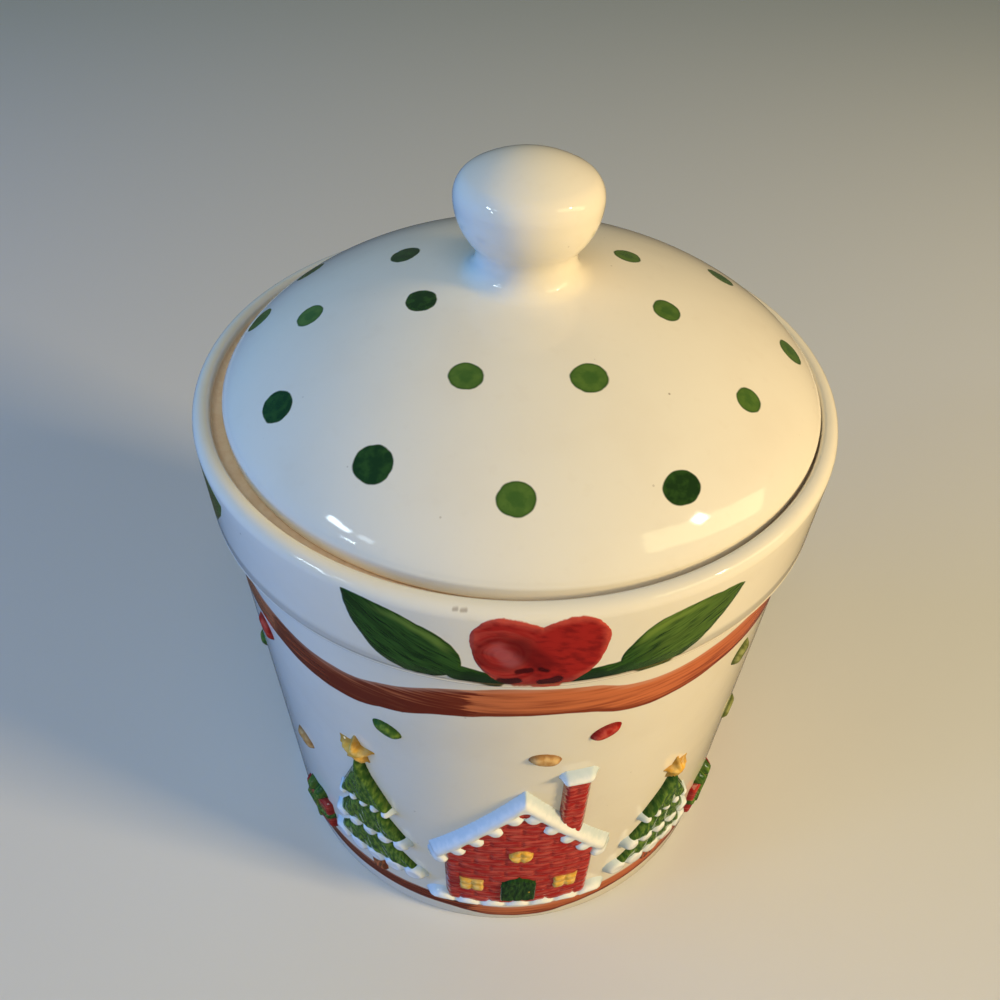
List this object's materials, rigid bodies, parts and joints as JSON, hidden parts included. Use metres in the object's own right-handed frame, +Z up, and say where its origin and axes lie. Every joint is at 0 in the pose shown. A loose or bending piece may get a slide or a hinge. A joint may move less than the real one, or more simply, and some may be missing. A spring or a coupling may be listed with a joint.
{
  "type": "biscuit jar",
  "caption": "Round glazed earthenware biscuit jar with a deep collar, a domed drop-in lid with a mushroom knob, and a raised winter picture on the front.",
  "frame": {"origin": "centre of the foot, on the surface that the jar stands on", "axes": "+Z up along the jar's axis, -Y towards the front with the raised picture, +X to the right seen from the front"},
  "size_m": [0.17, 0.17, 0.2326],
  "materials": {
    "jar_glaze": "glossy clear glaze over cream earthenware, painted under the glaze with a red heart between green leaves on the collar and brown bands on the wall",
    "lid_glaze": "glossy clear glaze over cream earthenware with hand-painted green dots",
    "cottage_glaze": "glossy glaze, brick red walls, white snow, green door and yellow windows",
    "fir_glaze": "glossy glaze, brushed green branches with white snow, brown trunk and yellow star",
    "parcel_glaze": "glossy glaze, red and white stripes with a green ribbon"
  },
  "bodies": {
    "jar": {"jar": "jar_glaze", "cottage_sprig": "cottage_glaze", "left_fir_sprig": "fir_glaze", "right_fir_sprig": "fir_glaze", "parcel_sprigs": "parcel_glaze"},
    "lid": {"lid": "lid_glaze"}
  },
  "joints": [
    {"name": "lid_lift", "type": "slide", "parent": "jar", "child": "lid", "axis": [0, 0, 1], "range_m": [0, 0.12]}
  ]
}
